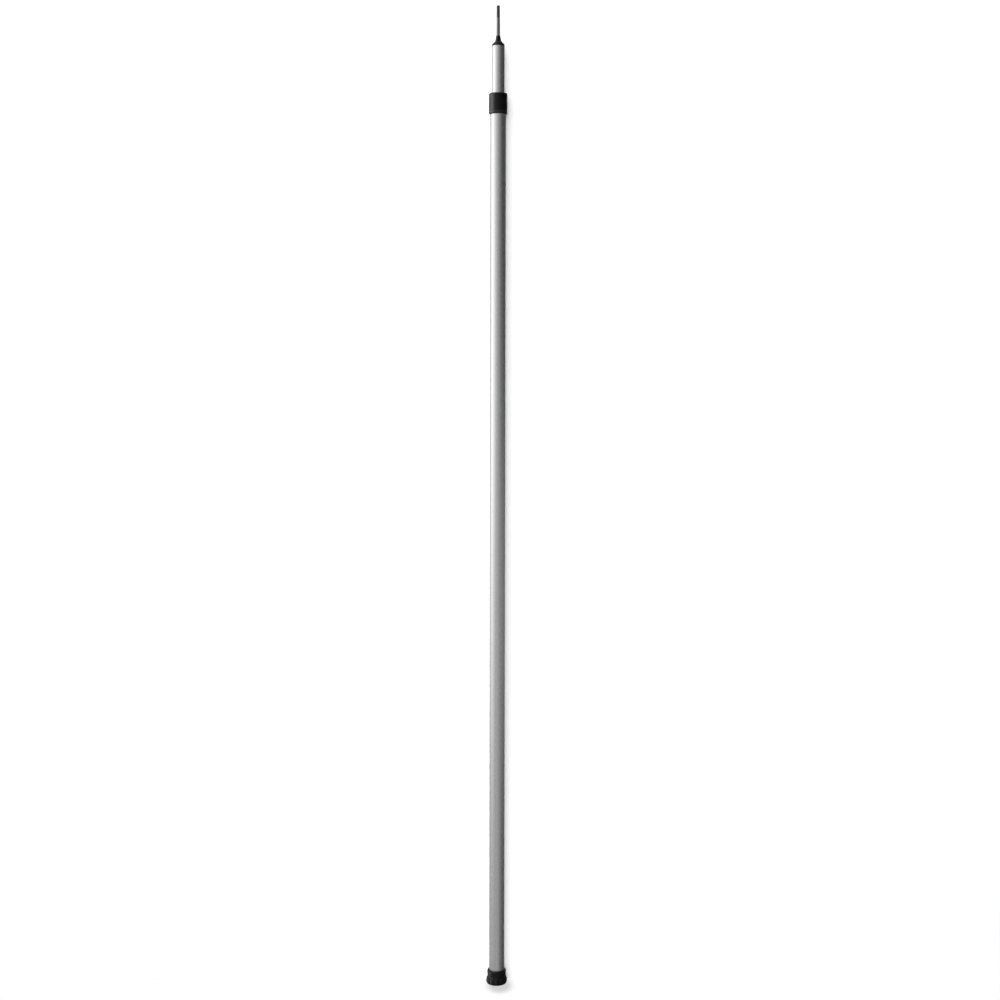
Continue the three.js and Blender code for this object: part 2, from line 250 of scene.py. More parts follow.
# ------------------------------------------------------------------ shader nets
class Net:
    """Short names for building a shader's maths."""

    def __init__(self, tree):
        self.tree = tree
        tree.nodes.clear()

    def node(self, kind, **settings):
        n = self.tree.nodes.new(kind)
        for key, value in settings.items():
            setattr(n, key, value)
        return n

    def plug(self, socket, value):
        if isinstance(value, bpy.types.NodeSocket):
            self.tree.links.new(value, socket)
        elif isinstance(value, tuple) and len(value) == 3 and socket.type == "RGBA":
            socket.default_value = (*value, 1.0)
        else:
            socket.default_value = value

    def math(self, op, *values):
        n = self.node("ShaderNodeMath", operation=op)
        for socket, value in zip(n.inputs, values):
            self.plug(socket, value)
        return n.outputs[0]

    def fold(self, op, total, *rest):
        for value in rest:
            total = self.math(op, total, value)
        return total

    def add(self, *values):
        return self.fold("ADD", *values)

    def mul(self, *values):
        return self.fold("MULTIPLY", *values)

    def sub(self, a, b):
        return self.math("SUBTRACT", a, b)

    def map_range(self, kind, *values):
        n = self.node("ShaderNodeMapRange", interpolation_type=kind)
        for socket, value in zip(n.inputs[:5], values):
            self.plug(socket, value)
        return n.outputs[0]

    def step(self, value, lo, hi, to_lo=0.0, to_hi=1.0):
        """Smooth step of value from lo to hi, read out between to_lo and to_hi.
        With lo above hi the step falls."""
        return self.map_range("SMOOTHSTEP", value, lo, hi, to_lo, to_hi)

    def span(self, value, to_lo, to_hi, lo=0.3, hi=0.7):
        """Straight run from to_lo to to_hi; lo to hi is the usual range of a noise."""
        return self.map_range("LINEAR", value, lo, hi, to_lo, to_hi)

    def bell(self, value, centre, width):
        t = self.math("DIVIDE", self.sub(value, centre), width)
        return self.math("EXPONENT", self.mul(t, t, -1.0))

    def mix(self, fac, a, b, kind="RGBA"):
        n = self.node("ShaderNodeMix", data_type=kind)
        first, out = (6, 2) if kind == "RGBA" else (2, 0)  # sockets of colours or of floats
        self.plug(n.inputs[0], fac)
        self.plug(n.inputs[first], a)
        self.plug(n.inputs[first + 1], b)
        return n.outputs[out]

    def scaled(self, vector, scale, shift=(0, 0, 0)):
        n = self.node("ShaderNodeMapping")
        self.plug(n.inputs[0], vector)
        n.inputs[1].default_value = shift
        n.inputs[3].default_value = scale
        return n.outputs[0]

    def split(self, vector):
        n = self.node("ShaderNodeSeparateXYZ")
        self.plug(n.inputs[0], vector)
        return n.outputs


class Surface(Net):
    """A material with its Principled node and the object's own coordinates in millimetres.
    Its textures are moved by shift, so that each material has its own pattern."""

    def __init__(self, name, preview, rough, shift, metal=0.0):
        self.material = bpy.data.materials.new(name)
        self.material.use_nodes = True
        self.material.diffuse_color = (*preview, 1.0)
        self.material.roughness, self.material.metallic = rough, metal
        super().__init__(self.material.node_tree)
        out = self.node("ShaderNodeOutputMaterial")
        self.bsdf = self.node("ShaderNodeBsdfPrincipled")
        self.tree.links.new(self.bsdf.outputs[0], out.inputs[0])
        coords = self.node("ShaderNodeTexCoord").outputs["Object"]
        self.mm = self.scaled(coords, (1000, 1000, 1000))
        self.shift = shift
        self.set("Metallic", metal)

    def set(self, name, value):
        self.plug(self.bsdf.inputs[name], value)

    def height(self):
        return self.split(self.mm)[2]

    def edge(self):
        """Above 0.5 on ridges, below it in hollows."""
        return self.node("ShaderNodeNewGeometry").outputs["Pointiness"]

    def noise(self, across, along=None, detail=4.0, rough=0.6, distortion=0.0, move_x=0.0):
        """Noise with across features per mm in X and Y, and along per mm in Z."""
        along = across if along is None else along
        shift = (self.shift[0] + move_x, *self.shift[1:])
        n = self.node("ShaderNodeTexNoise")
        self.plug(n.inputs["Vector"], self.scaled(self.mm, (across, across, along), shift))
        n.inputs["Scale"].default_value = 1.0
        n.inputs["Detail"].default_value = detail
        n.inputs["Roughness"].default_value = rough
        n.inputs["Distortion"].default_value = distortion
        return n.outputs[0]

    def cells(self, per_mm):
        n = self.node("ShaderNodeTexVoronoi", feature="F1")
        self.plug(n.inputs["Vector"], self.scaled(self.mm, (per_mm,) * 3, self.shift))
        n.inputs["Scale"].default_value = 1.0
        return n.outputs["Distance"]

    def finish(self, colour, rough, height, depth_mm, strength):
        """Plugs the colour, the roughness and a bump of the height, and gives the material."""
        self.set("Base Color", colour)
        self.set("Roughness", rough)
        bump = self.node("ShaderNodeBump")
        bump.inputs["Strength"].default_value = strength
        bump.inputs["Distance"].default_value = depth_mm * MM
        self.plug(bump.inputs["Height"], height)
        self.set("Normal", bump.outputs[0])
        return self.material


# ------------------------------------------------------------------ materials
def seeded(seed, x, y, z):
    return (seed * x, seed * y, seed * z)


def drawn_aluminium(name, seed, lines, rough, dirt):
    """Drawn and lightly anodised tube: fine lines along the pole, soft patches from handling,
    a few long scratches, and grime where it meets its neighbours.
    lines: strength of the drawing lines. dirt: (clean z, dirty z, amount) of each grimy end."""
    base = 0.83
    tint = (base, base * 1.003, base * 1.008)
    grime_colour = (0.20, 0.195, 0.185)
    net = Surface(name, (0.72, 0.73, 0.74), rough, seeded(seed, 13.7, 5.1, 31.0), metal=1.0)
    fine = net.noise(across=3.4, along=0.010)
    broad = net.noise(across=0.55, along=0.0022, detail=3.0, rough=0.55)
    grain = net.noise(across=11.0, along=0.35, detail=2.0)
    patch = net.noise(across=0.055, along=0.012, detail=3.0, rough=0.55)
    smudge = net.noise(across=0.20, along=0.060, distortion=0.6)
    # scratches: where a stretched noise crosses its middle value
    line = net.noise(1.1, along=0.0045, detail=1.0, rough=0.4, distortion=0.25, move_x=40)
    gap = net.math("ABSOLUTE", net.sub(line, 0.5))
    on_line = net.step(gap, lo=0.0, hi=0.006, to_lo=1.0, to_hi=0.0)
    scratch = net.mul(on_line, net.step(patch, lo=0.46, hi=0.6))
    z = net.height()
    ends = [net.mul(net.step(z, clean, dirty), amount) for clean, dirty, amount in dirt]
    grime = net.fold("MAXIMUM", *ends)
    tone = net.mul(
        net.span(broad, to_lo=0.93, to_hi=1.04),
        net.span(fine, to_lo=0.975, to_hi=1.02),
        net.span(smudge, to_lo=1.0, to_hi=0.985, lo=0.45, hi=0.75),
    )
    colour = net.node("ShaderNodeCombineColor")
    for socket, channel in zip(colour.inputs, tint):
        net.plug(socket, net.mul(tone, channel))
    speck = net.mul(grime, net.span(smudge, to_lo=0.35, to_hi=1.0, lo=0.35, hi=0.7))
    roughness = net.add(
        rough - 0.02,
        net.span(broad, to_lo=-0.03 * lines, to_hi=0.045 * lines),
        net.span(smudge, to_lo=0.0, to_hi=0.03, lo=0.45, hi=0.8),
        net.mul(scratch, 0.08),
        net.mul(grime, 0.25),
    )
    # brushed highlights, stretched round the pole's axis
    net.set("Anisotropic", 0.55)
    net.set("Tangent", net.node("ShaderNodeTangent", direction_type="RADIAL", axis="Z").outputs[0])
    height = net.add(net.mul(fine, 0.6 * lines), net.mul(grain, 0.10 * lines))
    height = net.sub(height, net.mul(scratch, 0.8))
    col = net.mix(speck, colour.outputs[0], grime_colour)
    return net.finish(col, roughness, height, depth_mm=0.006, strength=0.35)


def moulded_black(name, seed, rough, base, gloss, band=None):
    """Black nylon from a spark-finished mould: fine texture, faint bloom, lighter rubbed edges.
    band: (bottom z, height) of a band painted lighter, a painted highlight where the lip catches
    light."""
    dust_colour = (0.022, 0.022, 0.021)
    worn_colour = (0.040, 0.040, 0.041)
    # the lighter colour of the lip band is a painted highlight
    band_highlight_colour = (0.040, 0.040, 0.040)
    net = Surface(name, (base, base, base * 1.02), rough, seeded(seed, 7.3, 3.9, 11.0))
    eroded = net.cells(per_mm=5.5)
    pebble = net.noise(across=3.2, rough=0.65)
    bloom = net.noise(across=0.16, along=0.10, distortion=0.4)
    flow = net.noise(across=0.5, along=0.04, detail=3.0, rough=0.5)
    rubbed = net.step(net.edge(), lo=0.515, hi=0.58)
    worn = net.mul(rubbed, net.step(pebble, lo=0.42, hi=0.62))
    dust = net.step(bloom, lo=0.50, hi=0.80, to_lo=0.0, to_hi=0.10)
    col = net.mix(dust, (base, base, base * 1.03), dust_colour)
    col = net.mix(net.mul(worn, 0.35), col, worn_colour)
    if band is not None:
        # painted highlight: the bottom band is painted a little lighter where the lip catches
        # light, and its turned-under edge is given less shine so it stays dark
        bottom, tall = band
        z = net.sub(net.height(), bottom)
        starts = net.step(z, lo=0.9, hi=1.6)
        on_lit_band = net.mul(starts, net.step(z, lo=tall + 0.3, hi=tall - 0.5))
        col = net.mix(net.mul(on_lit_band, 0.55), col, band_highlight_colour)
        gloss = net.mul(net.step(z, lo=0.3, hi=1.5, to_lo=0.25, to_hi=1.0), gloss)
    net.set("Specular IOR Level", gloss)
    roughness = net.add(
        rough, net.span(bloom, to_lo=-0.05, to_hi=0.07), net.span(flow, to_lo=-0.03, to_hi=0.03)
    )
    roughness = net.sub(roughness, net.mul(worn, 0.10))
    height = net.add(net.mul(eroded, 0.5), net.mul(pebble, 0.5))
    return net.finish(col, roughness, height, depth_mm=0.02, strength=0.6)


def moulded_rubber(name, seed, tread_top=None):
    """Dull black rubber: a soft mottled skin, painted shade in its hollows and patchy dust,
    with more dust below tread_top."""
    skin_colour = (0.0040, 0.0040, 0.0040)
    dust_colour = (0.034, 0.033, 0.031)
    ridge_colour = (0.020, 0.020, 0.020)
    # the colour of painted shade in the hollows
    hollow_shade_colour = (0.0015, 0.0015, 0.0015)
    net = Surface(name, (0.016, 0.016, 0.016), 0.65, seeded(seed, 3.3, 9.1, 4.0))
    skin = net.noise(across=1.8, detail=6.0, rough=0.65)
    pores = net.cells(per_mm=6.0)
    patch = net.noise(across=0.14, distortion=0.5)
    edge = net.edge()
    shaded_hollow = net.step(edge, lo=0.49, hi=0.43)
    ridge = net.step(edge, lo=0.51, hi=0.57)
    dust = net.mul(net.step(patch, lo=0.42, hi=0.75), 0.12)
    if tread_top is not None:
        low_down = net.step(net.height(), lo=tread_top, hi=0.0)
        worked_in = net.span(skin, to_lo=0.15, to_hi=0.75, lo=0.35, hi=0.65)
        dust = net.add(dust, net.mul(low_down, worked_in))
    dust = net.math("MINIMUM", dust, 0.9)
    col = net.mix(dust, skin_colour, dust_colour)
    col = net.mix(net.mul(ridge, 0.25), col, ridge_colour)
    # painted shade: the hollows are darker, and below they are given less shine
    col = net.mix(net.mul(shaded_hollow, 0.7), col, hollow_shade_colour)
    roughness = net.add(0.37, net.span(patch, to_lo=-0.04, to_hi=0.06), net.mul(dust, 0.25))
    net.set("Specular IOR Level", net.mix(shaded_hollow, 0.28, 0.08, kind="FLOAT"))
    height = net.add(net.mul(skin, 0.8), net.mul(pores, 0.2))
    return net.finish(col, roughness, height, depth_mm=0.05, strength=0.55)


def plated_steel(name, seed, base, rough, turned=False, dark_end=None):
    """Zinc-plated steel: cloudy plating, a few dark specks, and marks round the part if turned,
    otherwise along it. It darkens above z = dark_end."""
    speck_colour = (0.06, 0.05, 0.042)
    end_colour = (0.030, 0.029, 0.028)
    net = Surface(name, base, rough, seeded(seed, 6.1, 2.7, 8.8), metal=1.0)
    across, lengthwise = (0.25, 9.0) if turned else (5.0, 0.06)
    marks = net.noise(across, lengthwise, detail=3.0)
    cloud = net.noise(across=0.5, along=0.22, detail=5.0, rough=0.62, distortion=0.4)
    specks = net.noise(across=2.2, detail=2.0, rough=0.5)
    dull = net.step(cloud, lo=0.46, hi=0.74)
    col = net.mix(net.mul(dull, 0.55), base, tuple(c * 0.55 for c in base))
    col = net.mix(net.mul(net.step(specks, lo=0.68, hi=0.78), 0.6), col, speck_colour)
    if dark_end is not None:
        uneven = net.add(net.height(), net.mul(net.sub(cloud, 0.5), 9.0))
        end = net.step(uneven, lo=dark_end - 1.2, hi=dark_end + 1.6)
        col = net.mix(net.mul(end, 0.62), col, end_colour)
    roughness = net.add(
        rough, net.span(cloud, to_lo=-0.05, to_hi=0.10), net.span(marks, to_lo=-0.03, to_hi=0.03)
    )
    return net.finish(col, roughness, marks, depth_mm=0.010, strength=0.6)


def acetal(name):
    """Natural white acetal: waxy, a little translucent, with fine lines round it."""
    light, shaded = (0.80, 0.79, 0.735), (0.74, 0.73, 0.67)
    grease_colour = (0.42, 0.38, 0.30)
    net = Surface(name, (0.80, 0.79, 0.74), 0.38, shift=(2.1, 4.7, 6.6))
    cloud = net.noise(across=0.3, along=0.15)
    marks = net.noise(across=0.3, along=5.0, detail=3.0)
    grease = net.step(net.noise(across=0.22), lo=0.52, hi=0.72)
    col = net.mix(net.span(cloud, to_lo=0.0, to_hi=1.0), light, shaded)
    col = net.mix(net.mul(grease, 0.25), col, grease_colour)
    net.set("Subsurface Weight", 0.15)
    net.set("Subsurface Radius", (0.0012, 0.0010, 0.0008))
    roughness = net.span(cloud, to_lo=0.33, to_hi=0.45)
    return net.finish(col, roughness, marks, depth_mm=0.012, strength=0.5)


def filled_nylon(name):
    """Dark grey glass-filled nylon: matt, with pale fibre flecks at the surface."""
    matrix_colour, fleck_colour = (0.085, 0.089, 0.094), (0.19, 0.19, 0.195)
    cloud_colour = (0.055, 0.057, 0.060)
    net = Surface(name, (0.10, 0.105, 0.11), 0.55, shift=(1.9, 5.3, 7.7))
    fibre = net.noise(across=6.0, along=0.9, detail=3.0, distortion=0.8)
    cloud = net.noise(across=0.25)
    col = net.mix(net.step(fibre, lo=0.56, hi=0.68), matrix_colour, fleck_colour)
    clouded = net.span(cloud, to_lo=0.0, to_hi=0.35, lo=0.35, hi=0.65)
    col = net.mix(clouded, col, cloud_colour)
    roughness = net.span(cloud, to_lo=0.48, to_hi=0.62)
    return net.finish(col, roughness, fibre, depth_mm=0.02, strength=0.6)


FOOT_DIRT = (FOOT_TOP + 5.0, FOOT_TOP - 1.0, 0.55)
UNDER_COLLAR_DIRT = (COLLAR_BOTTOM - 2.5, COLLAR_BOTTOM + 0.5, 0.45)
OVER_COLLAR_DIRT = (COLLAR_TOP + 2.0, COLLAR_TOP - 0.5, 0.35)
M_OUTER = drawn_aluminium(
    "aluminium_outer", seed=1.0, lines=1.0, rough=0.29, dirt=(FOOT_DIRT, UNDER_COLLAR_DIRT)
)
M_INNER = drawn_aluminium(
    "aluminium_inner", seed=2.0, lines=0.7, rough=0.27, dirt=(OVER_COLLAR_DIRT,)
)
M_COLLAR = moulded_black(
    "nylon_collar", seed=1.0, rough=0.30, base=0.0030, gloss=0.30, band=(COLLAR_BOTTOM, 5.2)
)
M_TIP = moulded_black("nylon_tip", seed=2.0, rough=0.36, base=0.0025, gloss=0.25)
M_FOOT = moulded_rubber("rubber_foot", seed=1.0, tread_top=2.2)
M_DRAG = moulded_rubber("rubber_ring", seed=2.0)
M_SPIKE = plated_steel(
    "steel_spike", seed=1.0, base=(0.26, 0.26, 0.265), rough=0.36, dark_end=SPIKE_TOP - 20.5
)
M_STEEL = plated_steel("steel_turned", seed=2.0, base=(0.50, 0.50, 0.505), rough=0.30, turned=True)
M_SPRING = plated_steel("steel_spring", seed=3.0, base=(0.30, 0.30, 0.31), rough=0.38)
M_ACETAL = acetal("acetal_white")
M_NYLON = filled_nylon("nylon_filled")

# ------------------------------------------------------------------ outer section
# All outlines below are rows of (r, z) or (r, z, fillet).
tube_outline = rounded(
    [(TUBE_BORE_R, TUBE_BOTTOM, 0.3), (TUBE_R, TUBE_BOTTOM, 0.35)]
    + along(TUBE_R, TUBE_BOTTOM, TUBE_TOP)
    + [(TUBE_R, TUBE_TOP, 0.35), (TUBE_BORE_R, TUBE_TOP, 0.25)]
    + along(TUBE_BORE_R, TUBE_TOP, TUBE_BOTTOM)
)
bm = revolve(tube_outline, segs=128)
piece("outer_tube_skin", bm, "outer_pole", M_OUTER, "outer_tube")

# Collar: rounded shoulder, plain barrel, and a raised band at the bottom that rounds under.
# z is from the collar's bottom.
COLLAR_HEIGHT = COLLAR_TOP - COLLAR_BOTTOM
BARREL_R = COLLAR_R - 0.10
SEAT_R, SEAT_TOP = 13.1, 31.5  # wide part of the bore
collar_outline = rounded(
    [
        (SEAT_R, 0.0, 0.25),
        (14.2, 0.0, 0.5),
        (COLLAR_R - 0.02, 0.85, 0.9),
        (COLLAR_R, 4.9, 0.25),
        (COLLAR_R - 0.34, 5.3, 0.15),
        (COLLAR_R - 0.30, 5.6, 0.15),
        (COLLAR_R - 0.12, 5.95, 0.2),
        (BARREL_R, 16.0),
        (BARREL_R, COLLAR_HEIGHT, 3.9),
        (10.85, COLLAR_HEIGHT, 0.5),
        (10.8, SEAT_TOP, 0.15),
        (SEAT_R, SEAT_TOP, 0.15),
    ],
    steps=8,
)


def collar_shape(r, z, angle):
    """Mould lines at both ends of X, left off the widest part of the band."""
    if r >= COLLAR_R - 0.06:
        return r, z
    return mould_line(r, z, angle, amount=0.05, width=0.028, min_r=13.5)


bm = revolve(collar_outline, segs=256, shape=collar_shape)
piece("collar_shell", bm, "outer_pole", M_COLLAR, "collar", z=COLLAR_BOTTOM)

# Guide bush: flanged sleeve, split lengthwise at +Y. z is from the outer tube's top.
BUSH_BORE_R, BUSH_R, FLANGE_R = 10.65, 11.15, 12.7
bush_outline = rounded(
    [
        (BUSH_BORE_R, -80.0, 0.2),
        (BUSH_R, -80.0, 0.3),
        (BUSH_R, 0.1, 0.1),
        (FLANGE_R, 0.1, 0.2),
        (FLANGE_R, 1.6, 0.2),
        (BUSH_BORE_R, 1.6, 0.35),
    ]
)
half_slit = math.asin(0.6 / 10.5)  # half the slit's width over the radius it is taken at
slit_arc = (math.pi / 2 + half_slit, math.pi / 2 + 2 * math.pi - half_slit)
bm = revolve(bush_outline, segs=120, arc=slit_arc)
piece("guide_bush_split", bm, "outer_pole", M_ACETAL, "guide_bush", z=TUBE_TOP)

# Foot: a sleeve above, twelve rounded lobes round the flare below, and a ringed tread.
LOBES, LOBE_TURN, LOBE_DEPTH = 12, math.radians(-87), 1.4
SOLE_EDGE = (15.7, 0.35)
SLEEVE_R, SLEEVE_Z = 16.25, 18.0
SOCKET_FLOOR = 6.0
TREAD_HOLLOW_Z = 1.2
tread = rounded(
    [
        (0.0, TREAD_HOLLOW_Z),
        (3.4, TREAD_HOLLOW_Z, 0.35),
        (3.9, 0.0, 0.3),
        (7.4, 0.0, 0.3),
        (7.9, TREAD_HOLLOW_Z, 0.35),
        (10.2, TREAD_HOLLOW_Z, 0.35),
        (10.7, 0.0, 0.3),
        (14.4, 0.0, 0.9),
        SOLE_EDGE,
    ],
    closed=False,
    steps=4,
)[:-1]
flare = curve(
    [
        SOLE_EDGE, (16.9, 1.05), (17.8, 2.6), (18.18, 4.6), (18.16, 6.4),
        (17.88, 8.5), (17.40, 10.4), (16.80, 12.1), (16.20, 13.5), (15.76, 14.4),
        (15.68, 14.95), (15.86, 15.6), (16.12, 16.6), (SLEEVE_R, SLEEVE_Z),
    ]
)
sleeve = rounded(
    [
        (SLEEVE_R, SLEEVE_Z),
        (SLEEVE_R, 21.0),
        (16.20, FOOT_TOP, 2.3),
        (13.1, FOOT_TOP, 0.5),
        (13.1, SOCKET_FLOOR, 0.3),
        (0.0, SOCKET_FLOOR),
    ],
    closed=False,
    steps=7,
)[1:]


def lobed(r, z, angle):
    """Presses the grooves between the lobes into the flare."""
    if r < 14.9:
        return r, z
    rise = smooth01((z - 0.2) / 3.0)
    fall = 1 - smooth01((z - 11.0) / 4.4)
    c = math.cos((angle - LOBE_TURN) * LOBES / 2)
    groove = 1 - math.sqrt(c * c * 0.985 + 0.015)
    return r - LOBE_DEPTH * rise * fall * groove, z


bm = revolve(tread + flare + sleeve, segs=288, closed=False, shape=lobed)
piece("foot_rubber", bm, "outer_pole", M_FOOT, "foot", angle=50)

bm = revolve(ring_outline(3.2, 12.7, 6.1, 7.7, fillets=(0.1, 0.3, 0.2, 0.2)), segs=96)
piece("foot_disc", bm, "outer_pole", M_STEEL, "foot_washer")

# ------------------------------------------------------------------ inner section
inner_outline = ring_outline(
    INNER_BORE_R, INNER_R, INNER_BOTTOM, INNER_TOP, fillets=(0.25, 0.3, 0.3, 0.25), steps=5
)
bm = revolve(inner_outline, segs=112)
inner_tube = piece("inner_tube_skin", bm, "inner_pole", M_INNER, "inner_tube")
cut(inner_tube, [pin_hole()])

# Tip plug: barbed stem in the tube, and the swept cone above it. z is from the inner tube's top.
TIP_BORE_R, BARB_R, NECK_R = 2.9, 8.95, 8.45
TIP_END = TIP_TOP - INNER_TOP
stem = rounded(
    [
        (TIP_BORE_R, -24.0, 0.1),
        (7.6, -24.0, 0.6),
        (BARB_R, -19.2, 0.15),
        (NECK_R, -18.9, 0.1),
        (NECK_R, -17.4, 0.3),
        (BARB_R, -13.3, 0.2),
        (BARB_R, 0.1, 0.05),
        (10.75, 0.1, 0.25),
        (10.75, 0.6),
    ],
    closed=False,
    steps=4,
)
cone = curve(
    [
        (10.72, 0.85), (10.35, 2.1), (9.3, 3.6), (8.0, 4.95), (6.6, 6.2), (5.5, 7.4),
        (4.8, 8.9), (4.3, 10.8), (4.0, 12.7), (3.6, 15.2), (3.46, 16.1),
    ]
)
# the bore, with a groove that holds the spike's shoulder
tip_bore = [
    (3.4, TIP_END),
    (TIP_BORE_R, TIP_END),
    (TIP_BORE_R, -12.4),
    (4.45, -12.4),
    (4.45, -15.6),
    (TIP_BORE_R, -15.6),
]


def tip_shape(r, z, angle):
    """Mould lines up the cone only."""
    if not 0.9 < z < 16.2:
        return r, z
    turn = math.radians(62)
    return mould_line(r, z, angle, amount=0.035, width=0.05, min_r=TIP_BORE_R, turn=turn)


bm = revolve(stem + cone + tip_bore, segs=160, shape=tip_shape)
piece("tip_cone", bm, "inner_pole", M_TIP, "tip_plug", z=INNER_TOP)

# Spike: cropped rod with a chamfered end, anchored in the plug. z is from the inner tube's top.
SPIKE_R, SHOULDER_R = 2.75, 4.3
SPIKE_END = SPIKE_TOP - INNER_TOP
spike_outline = rounded(
    [
        (0.0, -23.0),
        (SPIKE_R, -23.0, 0.5),
        (SPIKE_R, -15.5),
        (SHOULDER_R, -15.5, 0.2),
        (SHOULDER_R, -12.5, 0.2),
        (SPIKE_R, -12.5),
        (SPIKE_R, SPIKE_END - 0.25, 0.75),
        (0.9, SPIKE_END, 0.9),
        (0.0, SPIKE_END),
    ],
    closed=False,
    steps=6,
)
bm = revolve(spike_outline, segs=64, closed=False)
piece("spike_rod", bm, "inner_pole", M_SPIKE, "spike", z=INNER_TOP)

# ------------------------------------------------------------------ twist lock
# z is from the inner tube's bottom.
PLUG_R, PLUG_RIM_R = 8.9, 10.25
plug_outline = rounded(
    [
        (0.0, -3.1),
        (PLUG_RIM_R, -3.1, 0.35),
        (PLUG_RIM_R, -0.1, 0.2),
        (PLUG_R, -0.1, 0.1),
        (PLUG_R, 22.6, 0.3),
        (8.1, 24.0, 0.3),
        (0.0, 24.0),
    ],
    closed=False,
)
bm = revolve(plug_outline, segs=96, closed=False)
plug = piece(
    "lock_plug_body", bm, "inner_pole", M_NYLON, "lock_plug", z=INNER_BOTTOM
)
bore = revolve([(0, -4.0), (3.75, -4.0), (3.75, 10.5), (0, 10.5)], segs=48, closed=False)
raise_by(bore, INNER_BOTTOM)
cut(plug, [bore, pin_hole()])

# Stud: grooved lower end, thread, and a plain shank above it.
PITCH, THREAD_BOTTOM, THREAD_TOP = 3.0, -35.9, -17.0
THREAD_ROOT_R, THREAD_HEIGHT, THREAD_ROWS = 3.2, 0.8, 126
STUD_END_R, GROOVE_R, SHANK_R = 3.0, 2.4, 3.6


def thread(r, z, angle):
    """Right-hand trapezoid ridge on the stud, fading out at both ends."""
    if not (THREAD_BOTTOM <= z <= THREAD_TOP) or abs(r - THREAD_ROOT_R) > 1e-6:
        return r, z
    off_ridge = abs(math.remainder(z - PITCH * angle / (2 * math.pi), PITCH))
    up = max(0.0, min(1.0, (0.80 - off_ridge) / 0.45))
    ends = smooth01((z - THREAD_BOTTOM) / 1.0) * smooth01((THREAD_TOP - z) / 0.8)
    return r + THREAD_HEIGHT * up * ends, z


stud_outline = [
    (0.0, -40.0), (2.6, -40.0), (STUD_END_R, -39.6), (STUD_END_R, -38.4),
    (GROOVE_R, -38.4), (GROOVE_R, -37.4), (STUD_END_R, -37.4), (STUD_END_R, THREAD_BOTTOM),
]
stud_outline += [
    (THREAD_ROOT_R, THREAD_BOTTOM + (THREAD_TOP - THREAD_BOTTOM) * k / THREAD_ROWS)
    for k in range(THREAD_ROWS + 1)
]
stud_outline += [
    (SHANK_R, THREAD_TOP + 0.6), (SHANK_R, 9.2), (3.45, 9.7), (3.0, 10.0), (0.0, 10.0),
]
bm = revolve(stud_outline, segs=72, closed=False, shape=thread)
piece(
    "lock_stud_threaded", bm, "inner_pole", M_STEEL, "lock_stud", z=INNER_BOTTOM, angle=38
)

bm = revolve(ring_outline(4.2, 10.0, -4.2, -3.25, fillets=(0.15, 0.2, 0.2, 0.15)), segs=96)
piece("thrust_disc", bm, "inner_pole", M_ACETAL, "thrust_washer", z=INNER_BOTTOM)

bm = revolve(ring_outline(3.15, 7.4, -37.25, -36.05, fillets=(0.1, 0.3, 0.2, 0.1)), segs=80)
piece("stop_disc", bm, "inner_pole", M_STEEL, "stop_washer", z=INNER_BOTTOM)

RING_R, RING_Z, CORD_R, CORD_POINTS = 10.43, -8.8, 0.72, 20
cord_angles = [t * math.pi / (CORD_POINTS // 2) for t in range(CORD_POINTS)]
cord = [(RING_R + CORD_R * math.cos(a), RING_Z + CORD_R * math.sin(a)) for a in cord_angles]
bm = revolve(cord, segs=128)
piece("drag_ring_rubber", bm, "lock_carriage", M_DRAG, "drag_ring", z=INNER_BOTTOM)

# CAD nodes whose shape is right keep it, with a better finish.
for node, material in (
    ("expander_sleeve", M_NYLON),
    ("wedge_nut", M_ACETAL),
    ("snap_ring", M_SPRING),
    ("plug_spring_pin", M_SPRING),
):
    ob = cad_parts[node]
    ob.data.materials.clear()
    ob.data.materials.append(material)


# ------------------------------------------------------------------ studio (metres)
def stage_plane(name, corners, material):
    """A sheet that only the camera sees."""
    mesh = bpy.data.meshes.new(name)
    mesh.from_pydata(corners, [], [(0, 1, 2, 3)])
    mesh.materials.append(material)
    ob = bpy.data.objects.new(name, mesh)
    scene.collection.objects.link(ob)
    ob.visible_glossy = False
    ob.visible_diffuse = False
    ob.visible_transmission = False
    ob.visible_shadow = False
    return ob


def contact_shadow(net, own_light):
    """The sheet's glow, dimmed softly round the foot, a little to the front and right."""
    px, py = net.split(net.node("ShaderNodeTexCoord").outputs["Object"])[:2]
    ex = net.math("DIVIDE", net.sub(px, 0.005), 0.021)
    behind = net.add(py, 0.014)
    reach_y = net.step(behind, lo=0.0, hi=0.006, to_lo=0.031, to_hi=0.046)
    ey = net.math("DIVIDE", behind, reach_y)
    reach = net.math("SQRT", net.add(net.mul(ex, ex), net.mul(ey, ey)))
    return net.mul(own_light, net.step(reach, lo=0.50, hi=1.42, to_lo=0.64, to_hi=1.0))


